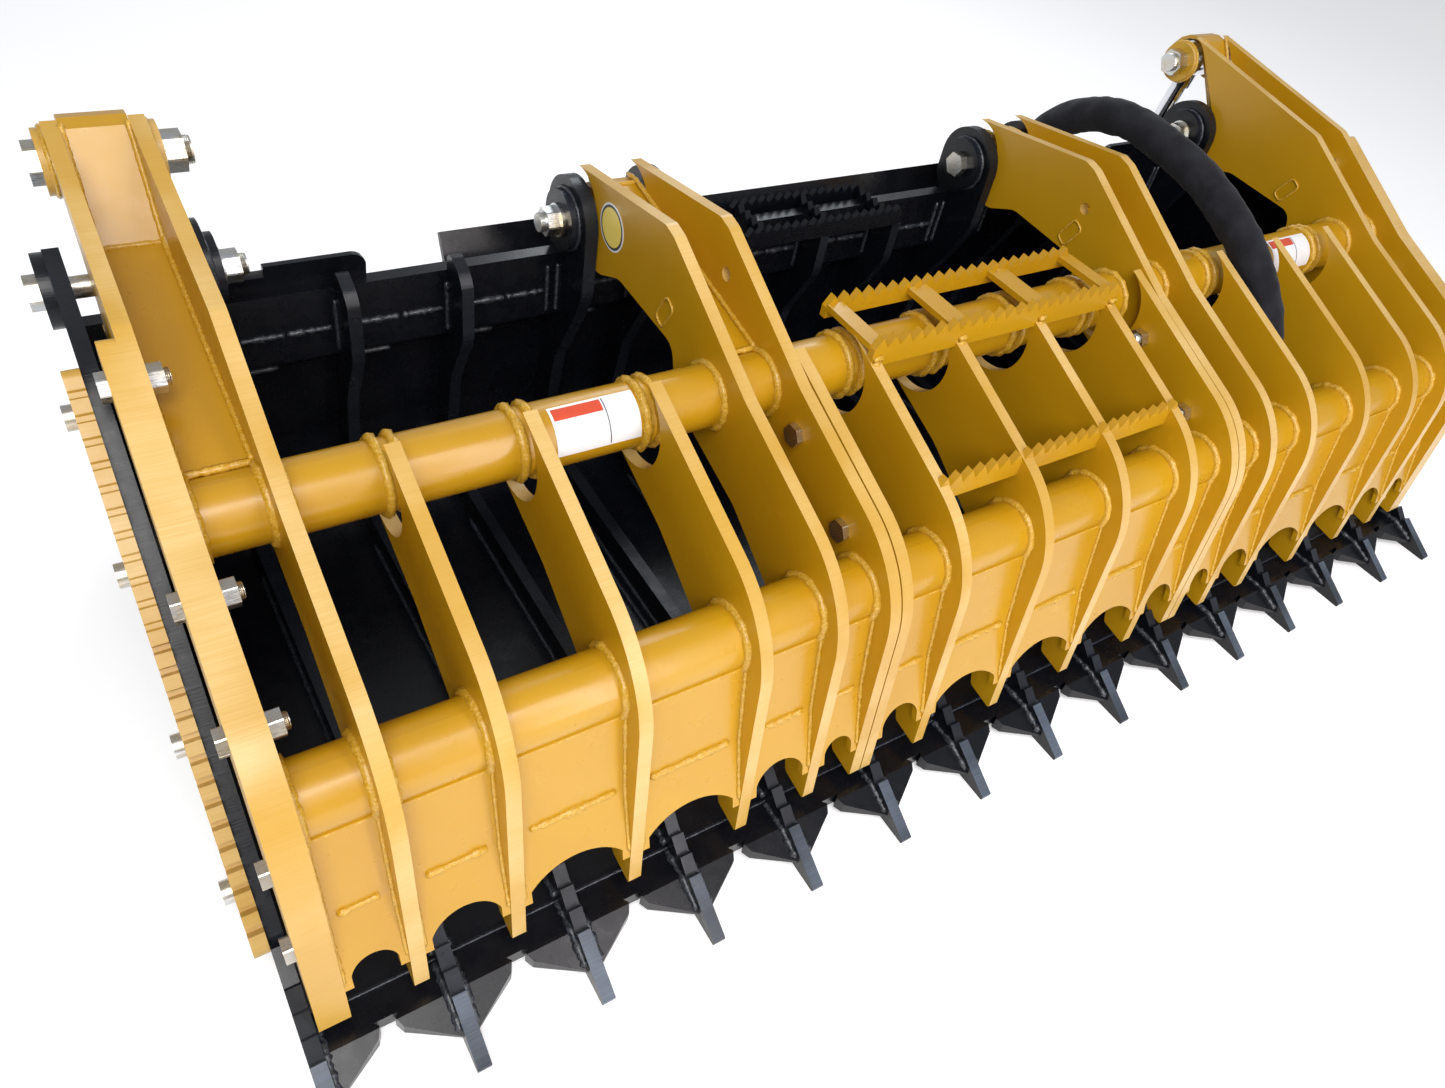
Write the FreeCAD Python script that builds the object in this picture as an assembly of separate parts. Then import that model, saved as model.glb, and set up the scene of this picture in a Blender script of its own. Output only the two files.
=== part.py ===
import FreeCAD, Part
import math
import os

# Skid-steer grapple bucket: a toothed bucket with a hinged clamp lid in three bolted sections.
# X runs along the width, -Y is the toothed front, +Y the coupler side, +Z is up.
# Side views are given as (y, z), with y counted back from the tooth tips, and the whole part is
# moved forward at the end so that its origin is the middle of its footprint. Millimetres.

V = FreeCAD.Vector

# ---- driving dimensions -------------------------------------------------------------------------
TOOTH_COUNT = 15
TOOTH_SPAN = 2034.0            # centre of the first tooth to centre of the last
PLATE = 16.0                   # thickness of every laser-cut profile plate
OVERALL_DEPTH = 979.2          # tooth tip to the back of the coupler's lower ledge

EDGE_BOTTOM = 13.0             # the cutting edge rides above the ground on the tooth plates
EDGE_THICKNESS = 20.0
EDGE_BACK = 250.0
TOOTH_BACK = 180.0
TOOTH_REAR_TOP = 91.0
SHELL_FRONT = 120.0
SHEET = 8.0                    # bucket shell sheet

RAIL_TOP = 430.0
RAIL_FRONT = 801.0
RAIL_BOTTOM = 318.0
WALL_AT_RAIL = 813.0           # inner face of the back wall at the rail's top
WALL_TILT = 10.0               # degrees, foot further back than the head
HEEL_RADIUS = 110.0
RIB_HEIGHT = 45.0              # inner ribs stand this far off the shell

PIVOT = (784.3, 489.2)         # lid pivot
LUG_RADIUS = 56.0
NOSE_RADIUS = 50.0             # lid arms round the pivot
PIVOT_BOLT_RADIUS = 12.0
CRANK_PIN = (867.3, 587.9)     # rod pins in the outer lid arms
CRANK_RADIUS = 47.0
ROD_PIN_RADIUS = 15.0
BASE_PIN = (940.0, 120.0)      # cylinder foot pins
LID_OPENING = 50.0             # degrees

UPPER_TUBE = (439.2, 442.2)
LOWER_TUBE = (190.0, 321.7)
TUBE_RADIUS = 38.0
TUBE_WALL = 8.0
TUBE_COVER = 65.0              # the ribs wrap the upper tube to this radius

SIDE_PLATE_X = 1017.0          # centres of plates, mirrored at -X
LID_SIDE_X = 999.0
ARM_X = (983.0, 902.0, 401.0, 325.0)
OUTER_RIB_X = (793.5, 650.5, 503.5)
MIDDLE_RIB_X = (307.0, 214.5, 72.8)
LUG_X = (883.0, 420.0, 306.0)
LUG_THICKNESS = 18.0
CYLINDER_X = 942.5

BOLT_HOLES = ((353.8, 425.6), (238.8, 371.9), (167.5, 259.4))
SIDE_HOLES = BOLT_HOLES + ((546.0, 528.9), (141.7, 154.1))

COUPLER_HALF_WIDTH = 568.0
COUPLER_PLATE = 10.0
LOCK_SLOT_X = 457.0

PITCH = TOOTH_SPAN / (TOOTH_COUNT - 1)
TOOTH_X = [PITCH * (k - (TOOTH_COUNT - 1) / 2.0) for k in range(TOOTH_COUNT)]
EDGE_TOP = EDGE_BOTTOM + EDGE_THICKNESS
FLOOR = EDGE_TOP + SHEET
SIDE_OUTER = SIDE_PLATE_X + PLATE / 2
SIDE_INNER = SIDE_PLATE_X - PLATE / 2
TAN_TILT = math.tan(math.radians(WALL_TILT))
COS_TILT = math.cos(math.radians(WALL_TILT))


# ---- small tools --------------------------------------------------------------------------------
def outline(corners):
    """Closed face in the YZ plane from (y, z, radius) corners; radius 0 keeps a corner sharp."""
    points = [V(0, c[0], c[1]) for c in corners]
    radii = [c[2] if len(c) > 2 else 0.0 for c in corners]
    count = len(points)
    ends = []
    for i in range(count):
        here = points[i]
        back = points[i - 1] - here
        ahead = points[(i + 1) % count] - here
        if radii[i] <= 0:
            ends.append((here, None, here))
            continue
        angle = back.getAngle(ahead)
        reach = radii[i] / math.tan(angle / 2)
        back.normalize()
        ahead.normalize()
        middle = back + ahead
        middle.normalize()
        centre = here + middle * (radii[i] / math.sin(angle / 2))
        inner = centre - middle * radii[i]
        ends.append((here + back * reach, inner, here + ahead * reach))
    edges = []
    for i in range(count):
        start, inner, stop = ends[i]
        if inner is not None:
            edges.append(Part.Arc(start, inner, stop).toShape())
        following = ends[(i + 1) % count][0]
        if (following - stop).Length > 1e-4:
            edges.append(Part.LineSegment(stop, following).toShape())
    return Part.Face(Part.Wire(edges))


def plate(face, centre_x, thickness=PLATE):
    """Extrude a YZ face along X, centred on centre_x."""
    solid = face.extrude(V(thickness, 0, 0))
    solid.translate(V(centre_x - thickness / 2, 0, 0))
    return solid


def between(face, x0, x1):
    """Extrude a YZ face from x0 to x1."""
    return plate(face, (x0 + x1) / 2, x1 - x0)


def rod(point, radius, x0, x1):
    """Round bar along X at (y, z)."""
    return Part.makeCylinder(radius, x1 - x0, V(x0, point[0], point[1]), V(1, 0, 0))


def ring(point, outer, inner, x0, x1):
    return rod(point, outer, x0, x1).cut(rod(point, inner, x0 - 1, x1 + 1))


def hexagon(point, across_flats, x0, x1):
    """Hexagon bar along X at (y, z), a nut or a bolt head."""
    radius = across_flats / math.sqrt(3)
    corners = []
    for k in range(6):
        angle = math.radians(60 * k)
        corners.append((point[0] + radius * math.cos(angle), point[1] + radius * math.sin(angle)))
    blank = between(outline(corners), x0, x1)
    crown = rod(point, across_flats * 0.56, x0, x1)
    return blank.common(crown)


def block(x0, x1, y0, y1, z0, z1):
    return Part.makeBox(x1 - x0, y1 - y0, z1 - z0, V(x0, y0, z0))


def mirrored(shape):
    return shape.mirror(V(0, 0, 0), V(1, 0, 0))


def both_sides(shapes):
    """The given solids and their mirror images across the middle plane."""
    return list(shapes) + [mirrored(s) for s in shapes]


def solids_of(shapes):
    found = []
    for shape in shapes:
        found.extend(shape.Solids)
    return found


def save(name, shapes):
    """Write one node as STEP, moved so that the origin is the middle of the footprint."""
    listed = solids_of(shapes if isinstance(shapes, (list, tuple)) else [shapes])
    whole = listed[0] if len(listed) == 1 else Part.makeCompound(listed)
    whole = whole.copy()
    whole.translate(V(0, -OVERALL_DEPTH / 2, 0))
    whole.exportStep("parts/" + name + ".step")
    box = whole.BoundBox
    print("%-22s solids %2d  x %.0f..%.0f  y %.0f..%.0f  z %.0f..%.0f  valid %s" % (
        name, len(listed), box.XMin, box.XMax, box.YMin, box.YMax, box.ZMin, box.ZMax, whole.isValid()))


def wall_y(z, offset=0.0):
    """The y of the back wall at height z, offset outwards from its inner face."""
    return WALL_AT_RAIL + (RAIL_TOP - z) * TAN_TILT + offset / COS_TILT


def tangent_point(start, centre, radius, side):
    """Where a line from start touches a circle; side +1 passes above it, -1 below."""
    dy = centre[0] - start[0]
    dz = centre[1] - start[1]
    reach = math.hypot(dy, dz)
    turn = math.atan2(dz, dy) + side * math.asin(radius / reach)
    length = math.sqrt(reach * reach - radius * radius)
    return (start[0] + length * math.cos(turn), start[1] + length * math.sin(turn))


def link(c1, r1, c2, r2):
    """Face around two circles joined by their outer tangents."""
    dy = c2[0] - c1[0]
    dz = c2[1] - c1[1]
    reach = math.hypot(dy, dz)
    heading = math.atan2(dz, dy)
    lean = math.acos((r1 - r2) / reach)
    quad = []
    for centre, radius, side in ((c1, r1, 1), (c2, r2, 1), (c2, r2, -1), (c1, r1, -1)):
        angle = heading + side * lean
        quad.append((centre[0] + radius * math.cos(angle), centre[1] + radius * math.sin(angle)))
    return outline(quad)


def disc(centre, radius):
    circle = Part.Circle(V(0, centre[0], centre[1]), V(1, 0, 0), radius).toShape()
    return Part.Face(Part.Wire([circle]))


def joined(faces):
    """One face from overlapping faces, cleaned of inner seams."""
    whole = faces[0].multiFuse(faces[1:]).removeSplitter()
    return whole.Faces[0]


# ---- bucket -------------------------------------------------------------------------------------
def tooth_face(rear_top):
    """Tooth plate: pointed tip, sloping top, then steps rising to the rear."""
    step_y = 68.8
    step_z = 45.3
    corners = [(0, 0, 2), (0, 6, 2), (step_y, step_z)]
    for k in range(3):
        corners.append((step_y + 5, step_z - 5.5))
        step_y = step_y + 23.5
        step_z = step_z + 10.5
        corners.append((step_y, step_z))
    corners.append((step_y + 5, step_z - 5.5))
    corners.append((TOOTH_BACK, rear_top))
    corners.append((TOOTH_BACK, EDGE_BOTTOM))
    corners.append((EDGE_BACK, EDGE_BOTTOM))
    corners.append((EDGE_BACK, 0))
    return outline(corners)


BEVEL_NOSE = 16.0              # top of the edge plate's thin front
BEVEL_BACK = 79.0              # where the bevel meets the plate's full thickness


def cutting_edge():
    """Flat plate whose front is cut to a spade shape at each tooth, with a dovetail notch between."""
    half = PLATE / 2
    front = 36.0
    valley = 70.0
    notch = ((-13, valley), (-8, valley + 11), (-12.5, valley + 16),
             (12.5, valley + 16), (8, valley + 11), (13, valley))
    points = [(-SIDE_OUTER, EDGE_BACK), (-SIDE_OUTER, front)]
    for k in range(TOOTH_COUNT):
        points.append((TOOTH_X[k] - half, front))
        points.append((TOOTH_X[k] + half, front))
        if k < TOOTH_COUNT - 1:
            middle = (TOOTH_X[k] + TOOTH_X[k + 1]) / 2
            points.extend([(middle + n[0], n[1]) for n in notch])
    points.append((SIDE_OUTER, front))
    points.append((SIDE_OUTER, EDGE_BACK))
    unique = []
    for point in points:
        if not unique or math.hypot(point[0] - unique[-1][0], point[1] - unique[-1][1]) > 0.01:
            unique.append(point)
    unique.append(unique[0])
    wire = Part.makePolygon([V(p[0], p[1], EDGE_BOTTOM) for p in unique])
    edge = Part.Face(wire).extrude(V(0, 0, EDGE_THICKNESS))
    bevel = outline([(front - 10, BEVEL_NOSE - 3.6), (BEVEL_BACK, EDGE_TOP), (BEVEL_BACK, EDGE_TOP + 20),
                     (front - 10, EDGE_TOP + 20)])
    return edge.cut(between(bevel, -SIDE_OUTER - 10, SIDE_OUTER + 10))


def shell():
    """Bent sheet: floor, heel and back wall, raised beside the outer lugs to shield the rods."""
    raised = RAIL_TOP + 38.0
    face = outline([
        (SHELL_FRONT, EDGE_TOP), (wall_y(EDGE_TOP, SHEET), EDGE_TOP, HEEL_RADIUS + SHEET),
        (wall_y(raised, SHEET), raised), (wall_y(raised), raised),
        (wall_y(FLOOR), FLOOR, HEEL_RADIUS), (SHELL_FRONT, FLOOR)])
    sheet = between(face, -SIDE_INNER, SIDE_INNER)
    lowered = [trim_outline(-690.0, 690.0, raised), trim_outline(868.0, SIDE_INNER + 60.0, raised)]
    lowered.append(mirrored(lowered[1]))
    nut_room = rod(PIVOT, 44, 812, 876)
    for tool in lowered + [nut_room, mirrored(nut_room)]:
        sheet = sheet.cut(tool)
    return sheet


def trim_outline(x0, x1, raised):
    """Tool that lowers the wall's top between x0 and x1, leaving rounded shoulders."""
    radius = 18.0
    y0 = WALL_AT_RAIL - 30
    length = 80.0
    low = block(x0, x1, y0, y0 + length, RAIL_TOP, raised + 5)
    high = block(x0 - radius, x1 + radius, y0, y0 + length, raised - radius, raised + 5)
    for x in (x0 - radius, x1 + radius):
        high = high.cut(Part.makeCylinder(radius, length, V(x, y0, raised - radius), V(0, 1, 0)))
    return low.fuse(high)


def rail():
    """Rail along the head of the back wall: two formed strips that meet at a stitched seam."""
    seam = 374.0
    skin = 10.0
    upper = outline([
        (RAIL_FRONT, seam), (RAIL_FRONT, RAIL_TOP), (wall_y(RAIL_TOP), RAIL_TOP),
        (wall_y(RAIL_TOP - skin), RAIL_TOP - skin), (RAIL_FRONT + skin, RAIL_TOP - skin),
        (RAIL_FRONT + skin, seam)])
    lower = outline([
        (RAIL_FRONT, seam), (RAIL_FRONT, RAIL_BOTTOM + 14, 8), (RAIL_FRONT + 14, RAIL_BOTTOM, 8),
        (wall_y(RAIL_BOTTOM), RAIL_BOTTOM), (wall_y(RAIL_BOTTOM + skin), RAIL_BOTTOM + skin),
        (RAIL_FRONT + 18, RAIL_BOTTOM + skin), (RAIL_FRONT + skin, RAIL_BOTTOM + 18),
        (RAIL_FRONT + skin, seam)])
    return [between(strip, -SIDE_INNER, SIDE_INNER) for strip in (upper, lower)]


def rib_corners():
    """Side view of an inner rib up to the rail: floor, heel and back wall."""
    inner = RIB_HEIGHT
    return [
        (TOOTH_BACK, EDGE_TOP + 8), (wall_y(FLOOR), FLOOR, HEEL_RADIUS),
        (wall_y(RAIL_BOTTOM), RAIL_BOTTOM), (RAIL_FRONT + 14, RAIL_BOTTOM, 0),
        (RAIL_FRONT, RAIL_BOTTOM + 14, 0)], [
        (RAIL_FRONT - 52, RAIL_BOTTOM + 34, 45),
        (wall_y(RAIL_BOTTOM - 60, -inner), RAIL_BOTTOM - 60, 60),
        (wall_y(FLOOR + inner, -inner), FLOOR + inner, HEEL_RADIUS - inner),
        (TOOTH_BACK + 45, FLOOR + inner, 30), (TOOTH_BACK, 76.0)]


def inner_rib_face():
    """Inner rib whose D-shaped head wraps the front of the rail."""
    base, hollow = rib_corners()
    head = [(RAIL_FRONT, RAIL_TOP + 34, 14), (RAIL_FRONT - 52, RAIL_TOP + 12, 36)]
    return outline(base + head + hollow)


def lug_face():
    """Inner rib that runs up into a pivot lug, standing on the rail's top."""
    base, hollow = rib_corners()
    foot_back = PIVOT[0] + LUG_RADIUS
    head_front = PIVOT[0] - LUG_RADIUS
    head = [
        (RAIL_FRONT, RAIL_TOP), (WALL_AT_RAIL + 14, RAIL_TOP), (foot_back, RAIL_TOP + 22, 8),
        (foot_back, PIVOT[1]), (head_front, PIVOT[1]), (head_front, RAIL_TOP - 30, 40)]
    return joined([outline(base + head + hollow), disc(PIVOT, LUG_RADIUS)])


def side_front():
    """Front edge of a bucket side plate, from its foot to the start of its lug."""
    return (192.0, 80.0), (618.0, 511.0)


def side_plate_face():
    low, high = side_front()
    touch = tangent_point(high, PIVOT, LUG_RADIUS, 1)
    heel = (wall_y(0, SHEET + 6), 0, HEEL_RADIUS)
    body = outline([
        (TOOTH_BACK, EDGE_TOP), (low[0], low[1], 20), (high[0], high[1], 150), touch, PIVOT,
        (PIVOT[0] + LUG_RADIUS, PIVOT[1]), (PIVOT[0] + LUG_RADIUS, RAIL_TOP + 10, 20),
        (wall_y(RAIL_TOP - 20, SHEET + 6), RAIL_TOP - 20), heel, (EDGE_BACK, 0),
        (EDGE_BACK, EDGE_TOP)])
    return joined([body, disc(PIVOT, LUG_RADIUS)])


def along_front(distance, inset):
    """Point on the side plate's front edge, inset into the plate."""
    low, high = side_front()
    length = math.hypot(high[0] - low[0], high[1] - low[1])
    uy = (high[0] - low[0]) / length
    uz = (high[1] - low[1]) / length
    return (low[0] + uy * distance + uz * inset, low[1] + uz * distance - uy * inset)


CUTTER_LENGTH = 600.0
CUTTER_PROUD = 12.0
CUTTER_WIDTH = 78.0
CUTTER_PITCH = 23.0
CUTTER_BOLTS = (60.0, 220.0, 400.0, 560.0)


def side_cutter_face():
    """Bolt-on strip with deep notches over its lower half and shallow ones above."""
    corners = [along_front(-8, CUTTER_WIDTH - CUTTER_PROUD) + (30,), along_front(-8, -CUTTER_PROUD) + (14,)]
    notches = int(CUTTER_LENGTH / CUTTER_PITCH) - 1
    for k in range(notches):
        start = 18.0 + k * CUTTER_PITCH
        depth = 11.0 if k < notches * 0.55 else 3.5
        corners.append(along_front(start, -CUTTER_PROUD))
        corners.append(along_front(start + 2, depth - CUTTER_PROUD))
        corners.append(along_front(start + 7, depth - CUTTER_PROUD))
        corners.append(along_front(start + 9, -CUTTER_PROUD))
    corners.append(along_front(CUTTER_LENGTH, -CUTTER_PROUD) + (10,))
    corners.append(along_front(CUTTER_LENGTH, CUTTER_WIDTH - CUTTER_PROUD) + (24,))
    return outline(corners)


def side_cutter_bolts():
    parts = []
    outer = SIDE_OUTER + PLATE
    for distance in CUTTER_BOLTS:
        point = along_front(distance, 28.0)
        bolt = rod(point, 8, SIDE_INNER, outer)
        head = ring(point, 13, 4, outer, outer + 10)
        parts.append(bolt.fuse(head.fuse(rod(point, 5, outer, outer + 6))))
    return parts


def pivot_stacks():
    """(x of the outer face of each lug, +1 where the boss faces outwards) for the +X half."""
    return ((SIDE_OUTER, 1), (LUG_X[0] - LUG_THICKNESS / 2, -1),
            (LUG_X[1] + LUG_THICKNESS / 2, 1), (LUG_X[2] - LUG_THICKNESS / 2, -1))


def lug_bosses():
    rings = []
    for x, facing in pivot_stacks():
        rings.append(ring(PIVOT, 40, PIVOT_BOLT_RADIUS, min(x, x + 12 * facing), max(x, x + 12 * facing)))
    return both_sides(rings)


def pivot_bolts():
    """One through bolt per arm: nuts inside on the outer arms, outside on the inner arms."""
    parts = []
    across = 34.0
    stacks = pivot_stacks()
    for head, nut in ((stacks[0], stacks[1]), (stacks[3], stacks[2])):
        way = head[1]
        face = head[0] + 12 * way
        seat = nut[0] - 12 * way
        end = seat - 30 * way
        shank = rod(PIVOT, PIVOT_BOLT_RADIUS, min(end, face), max(end, face))
        bolt = shank.fuse(hexagon(PIVOT, across, min(face, face + 13 * way), max(face, face + 13 * way)))
        low, high = sorted((seat, seat - 4 * way))
        washer = ring(PIVOT, 22, PIVOT_BOLT_RADIUS, low, high)
        low, high = sorted((seat - 4 * way, seat - 22 * way))
        bore = rod(PIVOT, PIVOT_BOLT_RADIUS, low - 1, high + 1)
        parts.extend([bolt, washer, hexagon(PIVOT, across, low, high).cut(bore)])
    return both_sides(parts)


def serrated_bar(half_length, y, top, height, thickness, pitch, depth):
    """Upright bar along X with a saw-toothed top edge."""
    count = round(2 * half_length / pitch)
    step = 2 * half_length / count
    points = [V(-half_length, y, top - height)]
    for k in range(count):
        points.append(V(-half_length + k * step, y, top - depth))
        points.append(V(-half_length + (k + 0.5) * step, y, top))
    points.append(V(half_length, y, top - depth))
    points.append(V(half_length, y, top - height))
    points.append(points[0])
    bar = Part.Face(Part.makePolygon(points)).extrude(V(0, thickness, 0))
    bar.translate(V(0, -thickness / 2, 0))
    return bar


STEP_SEAT = 418.0              # underside of the rear foothold, where it rests on the rib heads


def rear_step():
    """Serrated foothold on the rail between the two middle arms."""
    top = STEP_SEAT + 32
    front = serrated_bar(150, 754, top, 32, 10, 17, 12)
    rear = serrated_bar(125, 836, top, 32, 10, 17, 12)
    rungs = []
    for x in (-118, 0, 118):
        rung = serrated_bar(36, 795, top - 1, 19, 10, 18, 11)
        rung.rotate(V(0, 795, 0), V(0, 0, 1), 90)
        rung.translate(V(x, 0, 0))
        rungs.append(rung)
    return [front, rear] + rungs


def coupler_frame(s, out):
    """Point (y, z) at distance s up the outer face of the wall and out from it."""
    base = (wall_y(0, SHEET), 0.0)
    sin_tilt = math.sin(math.radians(WALL_TILT))
    return (base[0] - s * sin_tilt + out * COS_TILT, base[1] + s * COS_TILT + out * sin_tilt)


COUPLER_FOOT = 14.0
COUPLER_HEAD = 432.0
COUPLER_STANDOFF = 34.0


def coupler_plate():
    """Quick-attach plate: face plate, hooked head and lower ledge with two lock slots."""
    out = COUPLER_STANDOFF
    thick = COUPLER_PLATE
    face = outline([
        coupler_frame(COUPLER_FOOT, out), coupler_frame(COUPLER_FOOT, out + 52),
        coupler_frame(COUPLER_FOOT + thick, out + 52), coupler_frame(COUPLER_FOOT + thick, out + thick),
        coupler_frame(COUPLER_HEAD - 40, out + thick), coupler_frame(COUPLER_HEAD - 6, out + 34),
        coupler_frame(COUPLER_HEAD, out + 28), coupler_frame(COUPLER_HEAD - 36, out)])
    whole = between(face, -COUPLER_HALF_WIDTH, COUPLER_HALF_WIDTH)
    for side in (-1, 1):
        y = coupler_frame(COUPLER_FOOT, out + 30)[0]
        slot = block(side * LOCK_SLOT_X - 25, side * LOCK_SLOT_X + 25, y - 13, y + 13, -20, 80)
        whole = whole.cut(slot)
    return whole


def coupler_gussets():
    """Upright plates that carry the coupler plate off the back wall."""
    face = outline([
        coupler_frame(HEEL_RADIUS + 70, 0), coupler_frame(HEEL_RADIUS - 40, COUPLER_STANDOFF),
        coupler_frame(COUPLER_HEAD - 40, COUPLER_STANDOFF), coupler_frame(COUPLER_HEAD - 20, 0)])
    return both_sides([plate(face, x, 12.0) for x in (90.0, 325.0, COUPLER_HALF_WIDTH - 6.0)])


EAR_OFFSET = 42.0              # bracket ears either side of the cylinder, clear of its barrel


def cylinder_brackets():
    """Pairs of ears that hold each cylinder foot behind the wall."""
    body = outline([
        (wall_y(230, SHEET), 230), (BASE_PIN[0] + 20, BASE_PIN[1] + 25, 15), BASE_PIN,
        (BASE_PIN[0] + 10, BASE_PIN[1] - 33), (wall_y(140, SHEET), 88), (wall_y(140, SHEET), 140)])
    face = joined([body, disc(BASE_PIN, 35)])
    ears = []
    for x in (CYLINDER_X - EAR_OFFSET, CYLINDER_X + EAR_OFFSET):
        ears.append(plate(face, x, 12.0).cut(rod(BASE_PIN, 12.5, x - 20, x + 20)))
    return both_sides([ear.cut(shell()) for ear in ears])


def base_pins():
    reach = EAR_OFFSET + 6.0
    pin = rod(BASE_PIN, 12.5, CYLINDER_X - reach, CYLINDER_X + reach)
    head = rod(BASE_PIN, 19, CYLINDER_X - reach - 6, CYLINDER_X - reach)
    clip = rod(BASE_PIN, 19, CYLINDER_X + reach, CYLINDER_X + reach + 6)
    return both_sides([pin.fuse(head).fuse(clip)])


def wear_runners():
    """Runner under the floor behind each inner tooth."""
    back = wall_y(0) - HEEL_RADIUS * 1.28
    face = outline([(EDGE_BACK, 0), (EDGE_BACK, EDGE_TOP), (back, EDGE_TOP), (back - 12, 0, 10)])
    return [plate(face, x) for x in TOOTH_X[1:-1]]


# ---- lid ----------------------------------------------------------------------------------------
TIP = (92.5, 55.1)
BROW = (130.4, 386.4, 150)     # corner of the lid's brow, rounded


def leg_rear():
    """Rear edge of every lid plate below the upper tube, listed downwards."""
    return [(351, 341, 60), (249, 282, 50), (183, 201, 40), (134, 61.7, 8)]


def rib_face():
    """Lid rib: wraps the upper tube, runs forward and turns down to a blunt tip."""
    crest = tangent_point(BROW[:2], UPPER_TUBE, TUBE_COVER, 1)
    foot = tangent_point((351, 341), UPPER_TUBE, TUBE_COVER, -1)
    body = outline([(TIP[0], TIP[1], 3), BROW, crest, UPPER_TUBE, foot] + leg_rear())
    return joined([body, disc(UPPER_TUBE, TUBE_COVER)])


def shoulder():
    """Corner where an arm's top edge turns back towards the pivot."""
    return (557.0, 584.0, 22)


NOSE_CENTRE = (PIVOT[0] + 6.0, PIVOT[1] + 16.0)    # the inner arms' noses rise above the lugs


def arm_face(cranked):
    """Lid arm: a rib that carries on to the pivot, and past it to the rod pin if cranked."""
    crest = (369.0, 482.7, 60)
    underside = [
        (PIVOT[0], PIVOT[1] - NOSE_RADIUS), (720, PIVOT[1] - NOSE_RADIUS, 40), (671, 462, 40),
        (527, 454, 25), (505, 387, 40)]
    if cranked:
        top = tangent_point(shoulder()[:2], CRANK_PIN, CRANK_RADIUS, 1)
        ends = [top, CRANK_PIN, PIVOT]
    else:
        top = tangent_point((577.0, 589.0), NOSE_CENTRE, NOSE_RADIUS, 1)
        ends = [(577.0, 589.0, 14), top, NOSE_CENTRE, PIVOT]
    body = outline(
        [(TIP[0], TIP[1], 3), BROW, crest, shoulder()] + ends + underside + leg_rear())
    faces = [body, disc(PIVOT, NOSE_RADIUS)]
    if not cranked:
        faces.append(disc(NOSE_CENTRE, NOSE_RADIUS))
    if cranked:
        faces.append(link(PIVOT, NOSE_RADIUS, CRANK_PIN, CRANK_RADIUS))
        faces.append(disc(CRANK_PIN, CRANK_RADIUS))
    return joined(faces)


def lid_side_face():
    """Bolt-on side plate of the lid: as the ribs in front, ending at the shoulder."""
    return outline([
        (TIP[0], TIP[1], 3), BROW, (369.0, 482.7, 60), (548, 579, 8), (590, 529, 20),
        (496, 448, 60), (348, 359, 60)] + leg_rear()[1:])


def drilled(solid, points, radius, x):
    for point in points:
        solid = solid.cut(rod(point, radius, x - 20, x + 20))
    return solid


def with_tubes(solid, x):
    """Cut the two tube holes into a lid plate at x."""
    return drilled(solid, (UPPER_TUBE, LOWER_TUBE), TUBE_RADIUS, x)


def section_tubes(x0, x1):
    """The upper and lower tube of one lid section."""
    inner = TUBE_RADIUS - TUBE_WALL
    return [ring(point, TUBE_RADIUS, inner, x0, x1) for point in (UPPER_TUBE, LOWER_TUBE)]


FRONT_SHEET = 8.0
FRONT_TOP = (151.0, 312.5)
FRONT_BEND = (130.5, 205.0)
FRONT_FOOT = (99.0, 106.4)


def front_bay(x0, x1):
    """Bent front plate of one bay, scalloped along its foot."""
    t = FRONT_SHEET
    face = outline([
        FRONT_FOOT, FRONT_BEND, FRONT_TOP, (FRONT_TOP[0] + t, FRONT_TOP[1]),
        (FRONT_BEND[0] + t, FRONT_BEND[1] - 1), (FRONT_FOOT[0] + t, FRONT_FOOT[1] - 3)])
    sheet = between(face, x0, x1)
    tab = min(9.0, (x1 - x0) * 0.16)
    rise = 18.0 if x1 - x0 < 70 else 24.0
    spring = FRONT_FOOT[1] + 15.0
    start = V(x0 + tab, 60, spring)
    top = V((x0 + x1) / 2, 60, spring + rise)
    stop = V(x1 - tab, 60, spring)
    arch = Part.Arc(start, top, stop).toShape()
    below = Part.makePolygon([stop, V(x1 - tab, 60, 60), V(x0 + tab, 60, 60), start])
    tool = Part.Face(Part.Wire([arch] + below.Edges)).extrude(V(0, 120, 0))
    return sheet.cut(tool).cut(rod(LOWER_TUBE, TUBE_RADIUS, x0 - 1, x1 + 1))


def bays(centres):
    """Front plates between neighbouring plates of one lid section."""
    ordered = sorted(centres)
    return [front_bay(ordered[k] + PLATE / 2, ordered[k + 1] - PLATE / 2) for k in range(len(ordered) - 1)]


WEB = 6.0


def web_strip(path, x0, x1):
    """Sheet of even thickness along a (y, z) path, between two arm plates."""
    upper = []
    lower = []
    for k in range(len(path)):
        before = path[max(k - 1, 0)]
        after = path[min(k + 1, len(path) - 1)]
        heading = math.atan2(after[1] - before[1], after[0] - before[0])
        ny = -math.sin(heading) * WEB / 2
        nz = math.cos(heading) * WEB / 2
        upper.append((path[k][0] + ny, path[k][1] + nz))
        lower.append((path[k][0] - ny, path[k][1] - nz))
    return between(outline(upper + lower[::-1]), x0, x1)


def around(centre, radius, degrees):
    angle = math.radians(degrees)
    return (centre[0] + radius * math.cos(angle), centre[1] + radius * math.sin(angle))


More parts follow.
